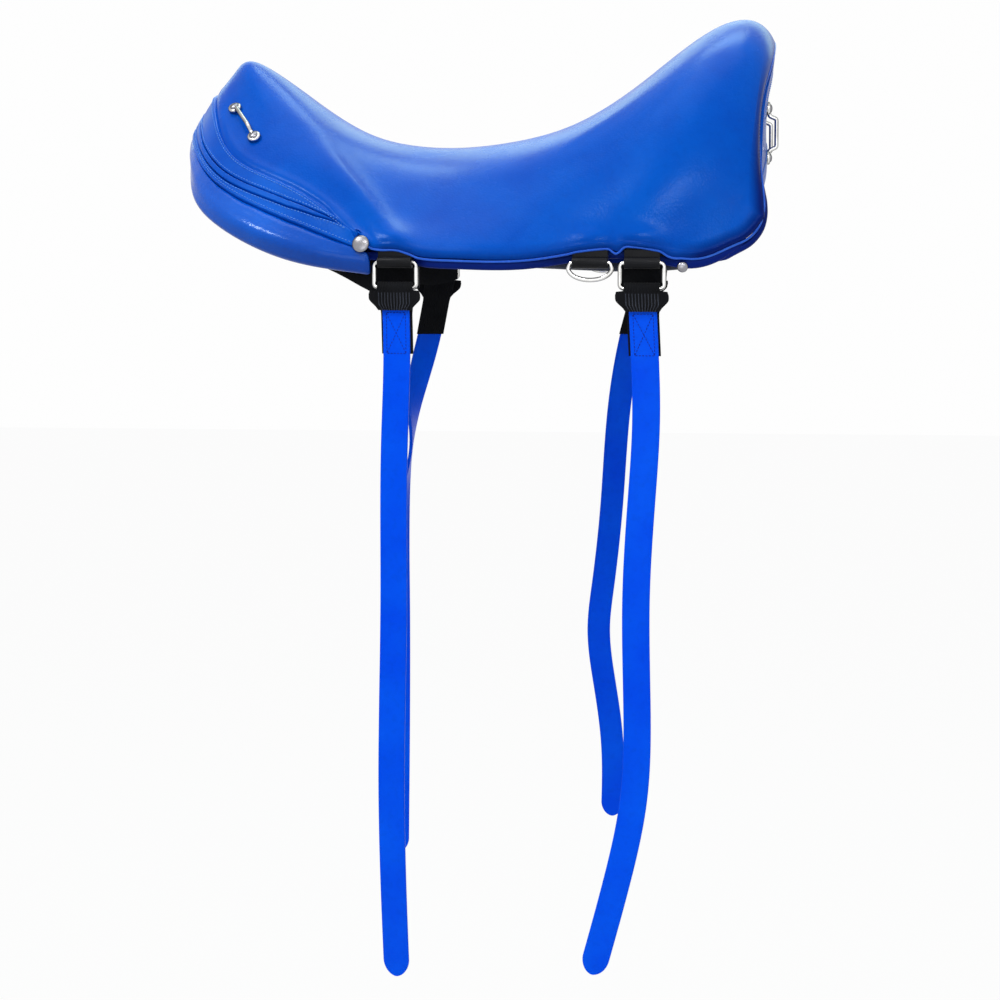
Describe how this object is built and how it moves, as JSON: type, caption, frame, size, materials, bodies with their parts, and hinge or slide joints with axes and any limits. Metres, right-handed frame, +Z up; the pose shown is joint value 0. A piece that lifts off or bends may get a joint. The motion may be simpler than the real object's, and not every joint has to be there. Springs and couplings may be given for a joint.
{
  "type": "saddle",
  "caption": "Blue leather flapless saddle with a padded seat and cantle, stitched pommel trim, steel rigging rings and hanging girth straps on black webbing.",
  "frame": {"origin": "roof of the spine channel at the middle of the seat, where the saddle rests over the horse's back", "axes": "+X to the saddle's rear, +Y to the off (right) side, +Z up"},
  "size_m": [0.5042, 0.3534, 0.7964],
  "materials": {
    "seat_leather": "smooth satin blue leather",
    "panel_leather": "glossy padded blue leather",
    "trim_leather": "stitched blue leather bands",
    "edge_leather": "dark blue edge and lining",
    "piping": "rolled blue piping",
    "strap_leather": "bright blue strap leather",
    "webbing": "ribbed black webbing",
    "tab_webbing": "smooth black webbing",
    "ring_steel": "bright polished wire",
    "rivet_steel": "domed steel heads",
    "tree_shell": "moulded tree",
    "foam": "seat foam",
    "felt": "dark felt panels"
  },
  "bodies": {
    "root": {"seat_cover": "seat_leather", "seat_foam": "foam", "front_panel": "panel_leather", "trim_band_lower": "trim_leather", "trim_band_middle": "trim_leather", "trim_band_upper": "trim_leather", "tree": "tree_shell", "underside_cover": "edge_leather", "cantle_panel": "seat_leather", "cantle_piping": "piping", "skirt_piping_left": "piping", "skirt_piping_right": "piping", "panel_left": "felt", "panel_right": "felt", "rigging_tab_front_left": "tab_webbing", "rigging_tab_front_right": "tab_webbing", "rigging_tab_rear_left": "tab_webbing", "rigging_tab_rear_right": "tab_webbing", "d_ring_tab_left": "tab_webbing", "d_ring_tab_right": "tab_webbing", "front_rivet_left": "rivet_steel", "rear_rivet_left": "rivet_steel", "front_rivet_right": "rivet_steel", "rear_rivet_right": "rivet_steel", "front_loop_left": "ring_steel", "front_loop_left_screw_1": "rivet_steel", "front_loop_left_screw_2": "rivet_steel", "front_loop_right": "ring_steel", "front_loop_right_screw_1": "rivet_steel", "front_loop_right_screw_2": "rivet_steel", "rear_loop_left": "ring_steel", "rear_loop_left_screw_1": "rivet_steel", "rear_loop_left_screw_2": "rivet_steel", "rear_loop_right": "ring_steel", "rear_loop_right_screw_1": "rivet_steel", "rear_loop_right_screw_2": "rivet_steel", "web_guard_front_left": "webbing", "web_guard_front_right": "webbing", "web_guard_rear_left": "webbing", "web_guard_rear_right": "webbing"},
    "ring_front_left": {"rigging_ring_front_left": "ring_steel"},
    "girth_strap_front_left": {"webbing_front_left": "webbing", "strap_front_left": "strap_leather"},
    "ring_front_right": {"rigging_ring_front_right": "ring_steel"},
    "girth_strap_front_right": {"webbing_front_right": "webbing", "strap_front_right": "strap_leather"},
    "ring_rear_left": {"rigging_ring_rear_left": "ring_steel"},
    "girth_strap_rear_left": {"webbing_rear_left": "webbing", "strap_rear_left": "strap_leather"},
    "ring_rear_right": {"rigging_ring_rear_right": "ring_steel"},
    "girth_strap_rear_right": {"webbing_rear_right": "webbing", "strap_rear_right": "strap_leather"},
    "dee_left": {"d_ring_left": "ring_steel"},
    "dee_right": {"d_ring_right": "ring_steel"}
  },
  "joints": [
    {"name": "ring_swing_front_left", "type": "hinge", "parent": "root", "child": "ring_front_left", "pos_m": [-0.05461, -0.15716, -0.0635], "axis": [-0.992, 0.1259, 0], "range_deg": [-6, 80]},
    {"name": "strap_swing_front_left", "type": "hinge", "parent": "ring_front_left", "child": "girth_strap_front_left", "pos_m": [-0.05461, -0.15716, -0.0835], "axis": [-0.992, 0.1259, 0], "range_deg": [-10, 80]},
    {"name": "ring_swing_front_right", "type": "hinge", "parent": "root", "child": "ring_front_right", "pos_m": [-0.05461, 0.15716, -0.0635], "axis": [0.992, 0.1259, 0], "range_deg": [-6, 80]},
    {"name": "strap_swing_front_right", "type": "hinge", "parent": "ring_front_right", "child": "girth_strap_front_right", "pos_m": [-0.05461, 0.15716, -0.0835], "axis": [0.992, 0.1259, 0], "range_deg": [-10, 80]},
    {"name": "ring_swing_rear_left", "type": "hinge", "parent": "root", "child": "ring_rear_left", "pos_m": [0.14207, -0.1715, -0.0635], "axis": [-0.9998, 0.0223, 0], "range_deg": [-6, 80]},
    {"name": "strap_swing_rear_left", "type": "hinge", "parent": "ring_rear_left", "child": "girth_strap_rear_left", "pos_m": [0.14207, -0.1715, -0.0835], "axis": [-0.9998, 0.0223, 0], "range_deg": [-10, 80]},
    {"name": "ring_swing_rear_right", "type": "hinge", "parent": "root", "child": "ring_rear_right", "pos_m": [0.14207, 0.1715, -0.0635], "axis": [0.9998, 0.0223, 0], "range_deg": [-6, 80]},
    {"name": "strap_swing_rear_right", "type": "hinge", "parent": "ring_rear_right", "child": "girth_strap_rear_right", "pos_m": [0.14207, 0.1715, -0.0835], "axis": [0.9998, 0.0223, 0], "range_deg": [-10, 80]},
    {"name": "d_ring_swing_left", "type": "hinge", "parent": "root", "child": "dee_left", "pos_m": [0.10127, -0.16878, -0.0635], "axis": [-0.9961, 0.0879, 0], "range_deg": [-8, 130]},
    {"name": "d_ring_swing_right", "type": "hinge", "parent": "root", "child": "dee_right", "pos_m": [0.10127, 0.16878, -0.0635], "axis": [0.9961, 0.0879, 0], "range_deg": [-8, 130]}
  ]
}
